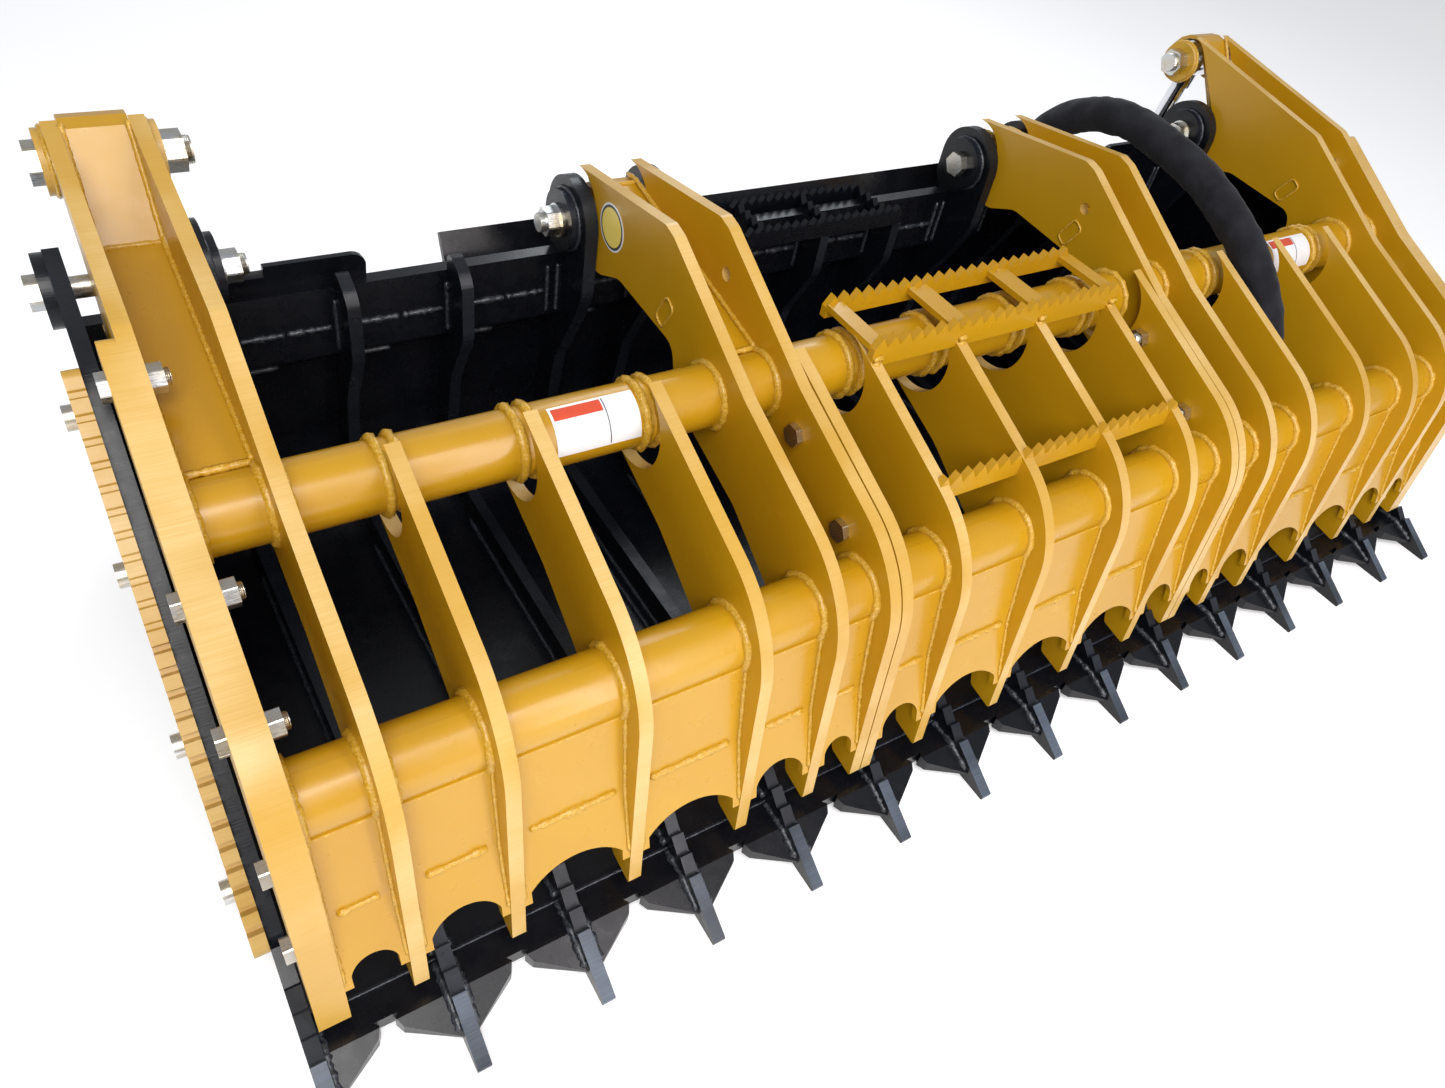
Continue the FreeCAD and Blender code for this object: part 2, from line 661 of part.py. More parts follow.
def arm_webs():
    """Bent web closing the top of each arm, from the upper tube over the pivot hub."""
    start = around(UPPER_TUBE, TUBE_RADIUS + 1, 52)
    over_hub = (PIVOT[0] - 8, PIVOT[1] + 41)
    over_pin = [around(CRANK_PIN, 42, a) for a in (112, 90, 68, 46, 24, 6)]
    outer = web_strip([start, over_hub] + over_pin, ARM_X[1] + PLATE / 2, ARM_X[0] - PLATE / 2)
    nose = [around(PIVOT, 40, a) for a in (70, 40, 15)]
    inner = web_strip([start, over_hub] + nose, ARM_X[3] + PLATE / 2, ARM_X[2] - PLATE / 2)
    clear = rod(UPPER_TUBE, TUBE_RADIUS, 0, 1200)
    return both_sides([outer.cut(clear), inner.cut(clear)])


HUB_RADIUS = 26.0
HUB_CLEARANCE = 0.08


def pivot_hubs():
    """Hub tubes between the arm plates, running on the pivot bolts."""
    bore = PIVOT_BOLT_RADIUS + HUB_CLEARANCE
    spans = ((ARM_X[1] + PLATE / 2, ARM_X[0] - PLATE / 2), (ARM_X[3] + PLATE / 2, ARM_X[2] - PLATE / 2))
    return both_sides([ring(PIVOT, HUB_RADIUS, bore, x0, x1) for x0, x1 in spans])


def arm_plates(index_pair, cranked):
    """The two plates of one arm on the +X half, with its rod-pin bosses."""
    parts = []
    for index in index_pair:
        x = ARM_X[index]
        solid = plate(arm_face(cranked), x)
        solid = drilled(solid, (PIVOT,), PIVOT_BOLT_RADIUS + HUB_CLEARANCE, x)
        if index in (1, 2):
            solid = with_tubes(solid, x)
        if index == 0:
            solid = drilled(solid, SIDE_HOLES, 8, x)
        if index == 3:
            solid = drilled(solid, BOLT_HOLES, 8, x)
            solid = drilled(solid, ((546.0, 528.9),), 9, x)
        if cranked:
            solid = drilled(solid, (CRANK_PIN,), ROD_PIN_RADIUS, x)
            face_x = x + PLATE / 2 if index == 0 else x - PLATE / 2 - 10
            parts.append(ring(CRANK_PIN, 34, ROD_PIN_RADIUS, face_x, face_x + 10))
        parts.append(solid)
    return parts


def rod_pins():
    """Bolts through the cranks that carry the rod eyes."""
    outer = ARM_X[0] + PLATE / 2 + 10
    inner = ARM_X[1] - PLATE / 2 - 10
    bolt = rod(CRANK_PIN, ROD_PIN_RADIUS, inner - 30, outer).fuse(hexagon(CRANK_PIN, 41, outer, outer + 12))
    nut = hexagon(CRANK_PIN, 41, inner - 22, inner).cut(rod(CRANK_PIN, ROD_PIN_RADIUS, inner - 40, inner + 1))
    return both_sides([bolt, nut])


def bolt_and_nut(point, head_x, nut_x, radius=8.0, across=26.0):
    """Bolt along X: its head at head_x, outside, and its nut ending at nut_x, inside."""
    shank = rod(point, radius, nut_x - 20, head_x)
    bolt = shank.fuse(hexagon(point, across, head_x, head_x + 9))
    nut = hexagon(point, across, nut_x - 15, nut_x).cut(rod(point, radius, nut_x - 30, nut_x + 1))
    return [bolt, nut]


def lid_bolts():
    """Bolts of the lid's side plates and of its section seams, with the seam washers."""
    parts = []
    for point in SIDE_HOLES:
        parts.extend(bolt_and_nut(point, LID_SIDE_X + PLATE / 2, ARM_X[0] - PLATE / 2))
    for point in BOLT_HOLES:
        parts.extend(bolt_and_nut(point, ARM_X[3] + PLATE / 2, MIDDLE_RIB_X[0] - PLATE / 2))
        parts.append(ring(point, 18, 8, MIDDLE_RIB_X[0] + PLATE / 2, ARM_X[3] - PLATE / 2))
    return both_sides(parts)


STEP_HALF = 222.0


def lid_steps():
    """Serrated footholds on the middle section: a pair of bars above and one bar below."""
    front = serrated_bar(STEP_HALF, 381, 520, 40, 10, 20, 15)
    rear = serrated_bar(STEP_HALF, 480, 518, 30, 10, 20, 15)
    lower = serrated_bar(STEP_HALF, 219, 432, 36, 10, 20, 15)
    parts = [front, rear, lower]
    for x in (-MIDDLE_RIB_X[1], -MIDDLE_RIB_X[2], MIDDLE_RIB_X[2], MIDDLE_RIB_X[1]):
        x0 = max(-STEP_HALF, x - 16)
        x1 = min(STEP_HALF, x + 16)
        parts.append(block(x0, x1, 386, 475, 500, 508))
    return parts


# ---- cylinders ----------------------------------------------------------------------------------
EYE_CLEARANCE = 6.0            # the tree of constant ratios leaves the rod pin this much play
AXIS_LEAN = 8.25               # degrees that the cylinder leans forward with the lid closed
ROD_REACH = 475.0              # foot pin to rod eye with the lid closed


def cylinder_point(distance):
    angle = math.radians(AXIS_LEAN)
    return (BASE_PIN[0] - distance * math.sin(angle), BASE_PIN[1] + distance * math.cos(angle))


def round_on_axis(radius, start, stop, x):
    """Round bar on the cylinder's axis between two distances from the foot pin."""
    y, z = cylinder_point(start)
    ahead = cylinder_point(stop)
    direction = V(0, ahead[0] - y, ahead[1] - z)
    return Part.makeCylinder(radius, stop - start, V(x, y, z), direction)


def barrel(x):
    """Cylinder barrel with its foot eye, gland and two ports."""
    tube = round_on_axis(33, 34, 262, x)
    gland = round_on_axis(36, 240, 266, x)
    foot = rod(BASE_PIN, 26, x - 34, x + 34).fuse(round_on_axis(22, 10, 40, x))
    body = tube.fuse(gland).fuse(foot)
    body = body.cut(round_on_axis(27, 44, 246, x)).cut(round_on_axis(15.3, 240, 270, x))
    for distance in (62, 226):
        y, z = cylinder_point(distance)
        port = Part.makeCylinder(11, 46, V(x, y, z), V(0, 1, 0))
        body = body.fuse(port.cut(round_on_axis(30, 40, 250, x)))
    return body.cut(rod(BASE_PIN, 12.55, x - 40, x + 40))


def piston_rod(x):
    """Rod with its piston and the eye on the crank pin."""
    eye_centre = cylinder_point(ROD_REACH)
    shaft = round_on_axis(15, 160, ROD_REACH - 20, x)
    piston = round_on_axis(26.6, 158, 184, x)
    eye = rod(eye_centre, 31, x - 20, x + 20)
    neck = round_on_axis(19, ROD_REACH - 52, ROD_REACH - 24, x)
    body = shaft.fuse(piston).fuse(neck).fuse(eye)
    return body.cut(rod(eye_centre, ROD_PIN_RADIUS + EYE_CLEARANCE, x - 30, x + 30))


# ---- hydraulic hose -----------------------------------------------------------------------------
HOSE_RADIUS = 29.0
HOSE_ROUTE = (
    V(498, 836, 462), V(502, 809, 534), V(502, 685, 604), V(519, 553, 584), V(540, 488, 557),
    V(546, 381, 504), V(556, 290, 403), V(556, 284, 335))


def hose_path():
    """Straight runs joined by tangent arcs, each as large as its two runs allow."""
    edges = []
    start = HOSE_ROUTE[0]
    for k in range(1, len(HOSE_ROUTE) - 1):
        corner = HOSE_ROUTE[k]
        back = HOSE_ROUTE[k - 1] - corner
        ahead = HOSE_ROUTE[k + 1] - corner
        turn = math.pi - back.getAngle(ahead)
        reach = 0.45 * min(back.Length, ahead.Length)
        radius = reach / math.tan(turn / 2)
        back.normalize()
        ahead.normalize()
        middle = back + ahead
        middle.normalize()
        first = corner + back * reach
        last = corner + ahead * reach
        inner = corner + middle * (radius / math.cos(turn / 2) - radius)
        edges.append(Part.LineSegment(start, first).toShape())
        edges.append(Part.Arc(first, inner, last).toShape())
        print("hose bend radius %.0f" % radius)
        start = last
    edges.append(Part.LineSegment(start, HOSE_ROUTE[-1]).toShape())
    return Part.Wire(edges)


def hose():
    path = hose_path()
    direction = HOSE_ROUTE[1] - HOSE_ROUTE[0]
    circle = Part.Circle(HOSE_ROUTE[0], direction, HOSE_RADIUS).toShape()
    tube = path.makePipeShell([Part.Wire([circle])], True, True)
    expected = math.pi * HOSE_RADIUS ** 2 * path.Length
    print("hose length %.0f, volume ratio %.4f" % (path.Length, tube.Volume / expected))
    return tube


def hose_block():
    """Manifold block on the rail with the leaning nipple that the hose leaves from."""
    start = HOSE_ROUTE[0]
    base = block(start.x - 28, start.x + 28, RAIL_FRONT + 4, RAIL_FRONT + 45, RAIL_TOP, RAIL_TOP + 22)
    direction = HOSE_ROUTE[1] - start
    direction.normalize()
    nipple = Part.makeCylinder(16, 24, start - direction * 24, direction)
    return base.fuse(nipple)


def hose_couplers():
    """Pair of hydraulic couplers at the free end of the hose."""
    end = HOSE_ROUTE[-1]
    direction = end - HOSE_ROUTE[-2]
    direction.normalize()
    parts = []
    for side in (-1, 1):
        start = end + V(side * 11.0, 0, 0)
        collar = Part.makeCylinder(10, 34, start, direction)
        nose = Part.makeCylinder(8, 30, start + direction * 34, direction)
        parts.append(collar.fuse(nose))
    return parts


# ---- build --------------------------------------------------------------------------------------
def build_bucket():
    teeth = []
    for x in TOOTH_X:
        teeth.append(plate(tooth_face(TOOTH_REAR_TOP), x))
    edge = cutting_edge()
    sheet = shell()
    for tooth in teeth:
        edge = edge.cut(tooth)
        sheet = sheet.cut(tooth)
    for k in range(TOOTH_COUNT):
        save("tooth_%02d" % (k + 1), teeth[k])
    save("cutting_edge", edge)
    save("bucket_shell", sheet)
    save("rail_beam", rail())

    side = plate(side_plate_face(), SIDE_PLATE_X)
    side = drilled(side, (PIVOT,), PIVOT_BOLT_RADIUS, SIDE_PLATE_X)
    cutter = plate(side_cutter_face(), SIDE_PLATE_X + PLATE)
    for distance in CUTTER_BOLTS:
        point = along_front(distance, 28.0)
        side = drilled(side, (point,), 8, SIDE_PLATE_X)
        cutter = drilled(cutter, (point,), 8, SIDE_PLATE_X + PLATE)
    save("side_plate_right", side)
    save("side_plate_left", mirrored(side))
    save("side_cutter_right", cutter)
    save("side_cutter_left", mirrored(cutter))
    save("side_cutter_bolts", both_sides(side_cutter_bolts()))

    plain = [x for x in TOOTH_X[1:-1] if min(abs(abs(x) - lug) for lug in LUG_X) > 20]
    ribs = []
    for x in plain:
        rib = plate(inner_rib_face(), x)
        if abs(x) < 160:
            rib = rib.cut(block(x - 20, x + 20, 700, 860, STEP_SEAT, 600))
        ribs.append(rib)
    save("inner_ribs", ribs)
    lugs = []
    for x in LUG_X:
        solid = plate(lug_face(), x, LUG_THICKNESS)
        lugs.append(drilled(solid, (PIVOT,), PIVOT_BOLT_RADIUS, x))
    save("pivot_lugs", both_sides(lugs))
    save("lug_bosses", lug_bosses())
    save("pivot_bolts", pivot_bolts())
    save("rear_step", rear_step())
    save("coupler_plate", coupler_plate())
    save("coupler_gussets", coupler_gussets())
    save("cylinder_brackets", cylinder_brackets())
    save("base_pins", base_pins())
    save("wear_runners", wear_runners())
    save("hose_block", hose_block())
    save("hose", hose())
    save("hose_couplers", hose_couplers())


def build_lid():
    steps = lid_steps()
    middle = [-x for x in MIDDLE_RIB_X] + list(MIDDLE_RIB_X)[::-1]
    middle_ribs = []
    for x in middle:
        solid = with_tubes(plate(rib_face(), x), x) if abs(x) < 300 else plate(rib_face(), x)
        if abs(x) > 300:
            solid = drilled(solid, BOLT_HOLES, 8, x)
        for bar in steps:
            solid = solid.cut(bar)
        middle_ribs.append(solid)
    save("ribs_middle", middle_ribs)
    save("tubes_middle", section_tubes(-MIDDLE_RIB_X[0] + PLATE / 2, MIDDLE_RIB_X[0] - PLATE / 2))
    save("front_plate_middle", [bay.cut(steps[2]) for bay in bays(middle)])
    save("lid_steps", steps)

    right_ribs = [with_tubes(plate(rib_face(), x), x) for x in OUTER_RIB_X]
    right_tubes = section_tubes(ARM_X[3] + PLATE / 2, ARM_X[0] - PLATE / 2)
    right_bays = bays(list(OUTER_RIB_X) + list(ARM_X))
    side = drilled(plate(lid_side_face(), LID_SIDE_X), SIDE_HOLES, 8, LID_SIDE_X)
    outer_arm = arm_plates((0, 1), True)
    inner_arm = arm_plates((2, 3), False)
    for name, group in (("ribs", right_ribs), ("tubes", right_tubes), ("front_plate", right_bays)):
        save(name + "_right", group)
        save(name + "_left", [mirrored(s) for s in group])
    save("lid_side_right", side)
    save("lid_side_left", mirrored(side))
    save("arm_1", [mirrored(s) for s in outer_arm])
    save("arm_2", [mirrored(s) for s in inner_arm])
    save("arm_3", inner_arm)
    save("arm_4", outer_arm)
    save("arm_webs", arm_webs())
    save("pivot_hubs", pivot_hubs())
    save("rod_pins", rod_pins())
    save("lid_bolts", lid_bolts())


def build_cylinders():
    save("barrel_right", barrel(CYLINDER_X))
    save("barrel_left", mirrored(barrel(CYLINDER_X)))
    save("rod_right", piston_rod(CYLINDER_X))
    save("rod_left", mirrored(piston_rod(CYLINDER_X)))


os.makedirs("parts", exist_ok=True)
build_bucket()
build_lid()
build_cylinders()
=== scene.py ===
import math
import random

import bmesh
import bpy
from mathutils import Matrix, Vector, noise


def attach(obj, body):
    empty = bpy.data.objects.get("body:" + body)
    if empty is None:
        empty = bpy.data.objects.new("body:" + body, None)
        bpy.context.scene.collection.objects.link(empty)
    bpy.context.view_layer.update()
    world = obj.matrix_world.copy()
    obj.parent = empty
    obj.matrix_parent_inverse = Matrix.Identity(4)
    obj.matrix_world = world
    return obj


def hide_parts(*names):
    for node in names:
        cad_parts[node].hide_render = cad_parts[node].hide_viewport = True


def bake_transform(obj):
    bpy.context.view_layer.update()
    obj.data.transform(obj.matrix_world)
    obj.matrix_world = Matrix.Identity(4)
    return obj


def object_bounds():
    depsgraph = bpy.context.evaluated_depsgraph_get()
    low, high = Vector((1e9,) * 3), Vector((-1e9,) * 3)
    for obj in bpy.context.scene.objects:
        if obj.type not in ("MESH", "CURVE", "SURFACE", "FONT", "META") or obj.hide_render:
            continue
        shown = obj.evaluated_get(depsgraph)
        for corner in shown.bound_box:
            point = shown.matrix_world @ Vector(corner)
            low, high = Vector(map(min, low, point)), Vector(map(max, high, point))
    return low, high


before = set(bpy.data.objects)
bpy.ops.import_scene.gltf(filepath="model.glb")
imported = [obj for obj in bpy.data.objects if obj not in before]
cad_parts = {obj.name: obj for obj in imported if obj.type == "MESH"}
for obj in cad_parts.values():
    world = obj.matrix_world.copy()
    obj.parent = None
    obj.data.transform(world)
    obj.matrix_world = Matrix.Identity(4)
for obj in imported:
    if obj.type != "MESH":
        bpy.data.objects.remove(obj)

CAD_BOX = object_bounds()
random.seed(7)

# ---- places and sizes, in metres ------------------------------------------------------------------
# y is counted back from the tooth tips in the lists below, as in the part's own drawings.
TIPS_Y = CAD_BOX[0][1]
PLATE = 0.016
TUBE_RADIUS = 0.038
UPPER_TUBE = (0.4392, 0.4422)
LOWER_TUBE = (0.1900, 0.3217)
PIVOT = (0.7843, 0.4892)
CRANK_PIN = (0.8673, 0.5879)
ARM_X = (0.983, 0.902, 0.401, 0.325)
OUTER_RIB_X = (0.7935, 0.6505, 0.5035)
MIDDLE_RIB_X = (0.307, 0.2145, 0.0728)
LUG_X = (0.883, 0.420, 0.306)
EDGE_TOP = 0.033
FLOOR_FRONT = 0.1195            # weld line along the front of the shell's floor
FLOOR = 0.041
RAIL = {"front": 0.801, "bottom": 0.318, "seam": 0.374}
LUG_HALF = 0.009                # half the thickness of a pivot lug
FRONT_PLATE = ((0.1510, 0.3125), (0.1305, 0.2050), (0.0990, 0.1064))
TOOTH_COUNT = 15
TOOTH_SPAN = 2.034
TOOTH_X = [TOOTH_SPAN * (k / (TOOTH_COUNT - 1) - 0.5) for k in range(TOOTH_COUNT)]
BOLT_HOLES = ((0.3538, 0.4256), (0.2388, 0.3719), (0.1675, 0.2594))
SIDE_HOLES = BOLT_HOLES + ((0.5460, 0.5289), (0.1417, 0.1541))
SIDE_BOLT = {"radius": 0.008, "nut": 0.015, "shows": 0.0048, "pitch": 0.0015}
CRANK_BOLT = {"radius": 0.015, "nut": 0.022, "shows": 0.0078, "pitch": 0.0020, "boss": 0.010}
PIVOT_BOLT = {"radius": 0.012, "nut": 0.022, "shows": 0.0078, "pitch": 0.0020, "boss": 0.012}
THREAD_CREST = 0.0007           # rise of the thread's crests and roots over the shank
THREAD_ROOT = 0.00008

WEB_START = (0.4632, 0.4744)    # foot of each arm's web, above the upper tube
# slot for the web's tab in each arm, its tilt in degrees
TAB_SLOT = {"centre": (0.554, 0.4845), "tilt": 28.0, "half_length": 0.021, "half_width": 0.0105}
ROUNDEL_CENTRE = (0.699, 0.519)
VINYL = 0.0003                  # thickness of the labels on the tube

CRANK_BOSS_WELD = 0.0345        # radii of the weld rings round the bosses
PIVOT_BOSS_WELD = 0.0405
STITCH = 0.055                  # length of a stitch in the rail seam, and its gap from a rib
STITCH_GAP = 0.016
STEP_TACKS = ((0.3745, 0.492), (0.3745, 0.484), (0.2125, 0.404), (0.2125, 0.412), (0.4735, 0.503))

HOSE_RADIUS = 0.029
# control points of the hose's line, at the corners of the CAD tube's route
HOSE_ROUTE = (
    (0.498, 0.836, 0.462), (0.502, 0.809, 0.534), (0.502, 0.685, 0.604), (0.519, 0.553, 0.584),
    (0.540, 0.488, 0.557), (0.546, 0.381, 0.504), (0.556, 0.290, 0.403), (0.556, 0.284, 0.335))


def at(x, y, z):
    """Point in the row frame from x, y behind the tooth tips, and z."""
    return Vector((x, TIPS_Y + y, z))


# ---- camera ---------------------------------------------------------------------------------------
CAMERA_PLACE = at(-1.0220, -0.3529, 1.1763)
CAMERA_HEADING = 40.99         # degrees from +Y towards +X
CAMERA_PITCH = 44.10           # degrees below the horizon
CAMERA_ROLL = 12.97
CAMERA_LENS = 25.79            # mm on a 36 mm wide sensor


def make_camera():
    """Camera at the place, heading, pitch, roll and lens above."""
    data = bpy.data.cameras.new("camera")
    data.lens = CAMERA_LENS
    data.sensor_width = 36.0
    data.clip_start = 0.01
    camera = bpy.data.objects.new("camera", data)
    bpy.context.scene.collection.objects.link(camera)
    turn = Matrix.Rotation(-math.radians(CAMERA_HEADING), 4, "Z")
    turn = turn @ Matrix.Rotation(math.radians(90 - CAMERA_PITCH), 4, "X")
    turn = turn @ Matrix.Rotation(math.radians(CAMERA_ROLL), 4, "Z")
    camera.matrix_world = Matrix.Translation(CAMERA_PLACE) @ turn
    bpy.context.scene.camera = camera


make_camera()


# ---- mesh tools -----------------------------------------------------------------------------------
def add_piece(name, bm, material, body, smooth=True):
    """Turn a bmesh into a piece that rides on a body."""
    bmesh.ops.recalc_face_normals(bm, faces=bm.faces)
    mesh = bpy.data.meshes.new(name)
    bm.to_mesh(mesh)
    bm.free()
    mesh.polygons.foreach_set("use_smooth", [smooth] * len(mesh.polygons))
    mesh.materials.append(material)
    obj = bpy.data.objects.new(name, mesh)
    bpy.context.scene.collection.objects.link(obj)
    if body is not None:
        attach(obj, body)
    return obj


def sweep(bm, points, radius, sides=8, closed=False, wobble=None):
    """Tube along points; wobble(k, angle) scales its radius."""
    count = len(points)
    rings = []
    up = None
    for k in range(count):
        before = points[(k - 1) % count] if closed or k else points[0]
        after = points[(k + 1) % count] if closed or k < count - 1 else points[-1]
        ahead = (after - before).normalized()
        if up is None:
            up = ahead.orthogonal().normalized()
        up = (up - ahead * up.dot(ahead)).normalized()
        side = ahead.cross(up)
        ring = []
        for s in range(sides):
            angle = 2 * math.pi * s / sides
            reach = radius * (wobble(k, angle) if wobble else 1.0)
            outward = up * math.cos(angle) + side * math.sin(angle)
            ring.append(bm.verts.new(points[k] + outward * reach))
        rings.append(ring)
    last = count if closed else count - 1
    shift = 0
    if closed:
        target = rings[-1][0].co
        shift = min(range(sides), key=lambda s: (rings[0][s].co - target).length)
    for k in range(last):
        first = rings[k]
        second = rings[(k + 1) % count]
        offset = shift if closed and k == count - 1 else 0
        for s in range(sides):
            bm.faces.new((first[s], first[(s + 1) % sides],
                          second[(s + 1 + offset) % sides], second[(s + offset) % sides]))
    if not closed:
        bm.faces.new(rings[0][::-1])
        bm.faces.new(rings[-1])


def bead(bm, points, radius, closed=False, rough=0.16, step=0.004):
    """Weld bead along a polyline: even steps with an uneven, rippled thickness."""
    path = []
    ends = points[1:] + points[:1] if closed else points[1:]
    for a, b in zip(points, ends):
        pieces = max(1, int((b - a).length / step))
        path.extend([a.lerp(b, k / pieces) for k in range(pieces)])
    if not closed:
        path.append(points[-1])
    if len(path) < 3:
        return
    sizes = []
    for k in range(len(path)):
        sizes.append(1.0 + rough * (random.random() - 0.5) * 2 + 0.10 * math.sin(k * 2.1))
    if not closed:
        sizes[0] *= 0.6
        sizes[-1] *= 0.75
    sweep(bm, path, radius, sides=6, closed=closed, wobble=lambda k, angle: sizes[k])


def circle(centre, radius, x, count=40):
    """Points round a circle that faces along X, with its centre given as (y, z)."""
    return [at(x, centre[0] + radius * math.cos(2 * math.pi * k / count),
               centre[1] + radius * math.sin(2 * math.pi * k / count)) for k in range(count)]


def on_both_sides(values):
    """Each x and its mirror."""
    return [v for value in values for v in (value, -value)]


# ---- material tools -------------------------------------------------------------------------------
class Graph:
    """A material's node graph with short ways to add and join nodes."""

    def __init__(self, name):
        self.material = bpy.data.materials.new(name)
        self.material.use_nodes = True
        self.nodes = self.material.node_tree.nodes
        self.links = self.material.node_tree.links
        self.shader = self.nodes["Principled BSDF"]
        place = self.nodes.new("ShaderNodeTexCoord")
        self.coordinates = place.outputs["Object"]
        self.normals = place.outputs["Normal"]

    def join(self, source, target):
        """Link an output to an input, or give the input a plain value or colour."""
        if isinstance(source, (int, float, tuple)):
            target.default_value = source
        else:
            self.links.new(source, target)

    def scaled(self, x, y, z):
        """Object coordinates multiplied by a factor on each axis."""
        node = self.nodes.new("ShaderNodeMapping")
        node.inputs["Scale"].default_value = (x, y, z)
        self.join(self.coordinates, node.inputs["Vector"])
        return node.outputs["Vector"]

    def noise(self, scale, detail=3.0, vector=None, roughness=0.5):
        node = self.nodes.new("ShaderNodeTexNoise")
        node.inputs["Scale"].default_value = scale
        node.inputs["Detail"].default_value = detail
        node.inputs["Roughness"].default_value = roughness
        self.join(vector or self.coordinates, node.inputs["Vector"])
        return node.outputs["Fac"]

    def ramp(self, value, low, high, start=0.0, stop=1.0):
        """Map low to high onto start to stop, and hold the ends."""
        node = self.nodes.new("ShaderNodeMapRange")
        node.inputs["From Min"].default_value = low
        node.inputs["From Max"].default_value = high
        node.inputs["To Min"].default_value = start
        node.inputs["To Max"].default_value = stop
        self.join(value, node.inputs["Value"])
        return node.outputs["Result"]

    def math(self, operation, first, second=0.0):
        node = self.nodes.new("ShaderNodeMath")
        node.operation = operation
        self.join(first, node.inputs[0])
        self.join(second, node.inputs[1])
        return node.outputs["Value"]

    def mix(self, factor, first, second):
        node = self.nodes.new("ShaderNodeMix")
        node.data_type = "RGBA"
        self.join(factor, node.inputs["Factor"])
        self.join(first, node.inputs["A"])
        self.join(second, node.inputs["B"])
        return node.outputs["Result"]

    def plate_edge(self):
        """1 on a profile plate's cut edge, 0 on its flat faces, which look along X."""
        split = self.nodes.new("ShaderNodeSeparateXYZ")
        self.join(self.normals, split.inputs["Vector"])
        return self.ramp(self.math("ABSOLUTE", split.outputs["X"]), 0.35, 0.65, 1.0, 0.0)

    def along_y(self):
        split = self.nodes.new("ShaderNodeSeparateXYZ")
        self.join(self.coordinates, split.inputs["Vector"])
        return split.outputs["Y"]

    def threads(self, direction):
        """Fine waves across one axis, as the threads of a weave."""
        node = self.nodes.new("ShaderNodeTexWave")
        node.bands_direction = direction
        node.inputs["Scale"].default_value = 260.0
        node.inputs["Distortion"].default_value = 0.6
        self.join(self.coordinates, node.inputs["Vector"])
        return node.outputs["Fac"]

    def bump(self, height, strength, distance, under=None):
        """Normal from a height, distance in metres, on top of the bump given as under."""
        node = self.nodes.new("ShaderNodeBump")
        node.inputs["Strength"].default_value = strength
        node.inputs["Distance"].default_value = distance
        self.join(height, node.inputs["Height"])
        if under is not None:
            self.join(under, node.inputs["Normal"])
        return node.outputs["Normal"]

    def finish(self, colour, roughness, normal, metallic=0.0, coat=0.0, coat_roughness=0.1,
               specular=0.5):
        """Feed the shader and return the material."""
        self.join(colour, self.shader.inputs["Base Color"])
        self.join(roughness, self.shader.inputs["Roughness"])
        self.join(normal, self.shader.inputs["Normal"])
        self.shader.inputs["Metallic"].default_value = metallic
        self.shader.inputs["Coat Weight"].default_value = coat
        self.shader.inputs["Coat Roughness"].default_value = coat_roughness
        self.shader.inputs["Specular IOR Level"].default_value = specular
        return self.material


OCHRE = (0.520, 0.280, 0.005, 1)
OCHRE_DEEP = (0.350, 0.160, 0.003, 1)
# pale edge colour: worn paint on the cut edges, and also a painted highlight of light on those edges
OCHRE_EDGE_WEAR_AND_HIGHLIGHT = (0.840, 0.650, 0.330, 1)
BLACK = (0.0026, 0.0032, 0.0052, 1)
BLACK_DUSTY = (0.0060, 0.0074, 0.0115, 1)
BLACK_WORN = (0.115, 0.145, 0.195, 1)
TOOTH_STEP = (0.069, 0.073)     # y over which the teeth's cut lines fade


def painted_plate(name, base, deep, edge_wear_and_highlight, roughness, cut_depth, cut_and_highlight_tint, gloss=0.20, front_only=False):
    """Enamel on flame-cut plate: smooth faces, and edges with cut lines across their thickness, paler
    partly from wear and, on the ochre plate, partly as a painted highlight.

    With front_only the cut lines are strong only ahead of the teeth's step.
    """
    g = Graph(name)
    edge = g.plate_edge()
    if front_only:
        ahead = g.ramp(g.along_y(), TIPS_Y + TOOTH_STEP[0], TIPS_Y + TOOTH_STEP[1], 1.0, 0.12)
        edge = g.math("MULTIPLY", edge, ahead)
    lines = g.noise(620.0, 2.0, g.scaled(0.02, 1.0, 1.0))
    patches = g.ramp(g.noise(7.0, 2.0), 0.40, 0.62, 0.35, 1.0)
    cut = g.math("MULTIPLY", g.math("MULTIPLY", g.ramp(lines, 0.30, 0.70, 0.70, 1.0), patches), edge)
    cloud = g.ramp(g.noise(4.5, 4.0), 0.35, 0.70)
    colour = g.mix(g.math("MULTIPLY", cloud, 0.32), base, deep)
    # mix the edges towards their pale colour along the cut lines: wear, and on the ochre plate also a
    # painted highlight
    colour = g.mix(g.math("MULTIPLY", cut, cut_and_highlight_tint), colour, edge_wear_and_highlight)
    rough = g.ramp(g.noise(60.0, 4.0), 0.3, 0.7, roughness - 0.05, roughness + 0.08)
    peel = g.bump(g.noise(1100.0, 2.0), 0.10, 0.0004)
    normal = g.bump(g.math("MULTIPLY", lines, edge), cut_depth, 0.0006, peel)
    return g.finish(colour, rough, normal, coat=gloss, coat_roughness=0.18, specular=0.25 + gloss)


def painted_smooth(name, base, deep, roughness, gloss=0.3):
    """Enamel on drawn tube or sheet: orange peel and a little colour drift."""
    g = Graph(name)
    colour = g.mix(g.ramp(g.noise(5.0, 4.0), 0.35, 0.75, 0.0, 0.35), base, deep)
    rough = g.ramp(g.noise(45.0, 4.0), 0.3, 0.7, roughness - 0.04, roughness + 0.07)
    peel = g.bump(g.noise(900.0, 2.0), 0.12, 0.0004)
    normal = g.bump(g.noise(22.0, 2.0), 0.06, 0.002, peel)
    return g.finish(colour, rough, normal, coat=gloss, coat_roughness=0.16, specular=0.25 + gloss)


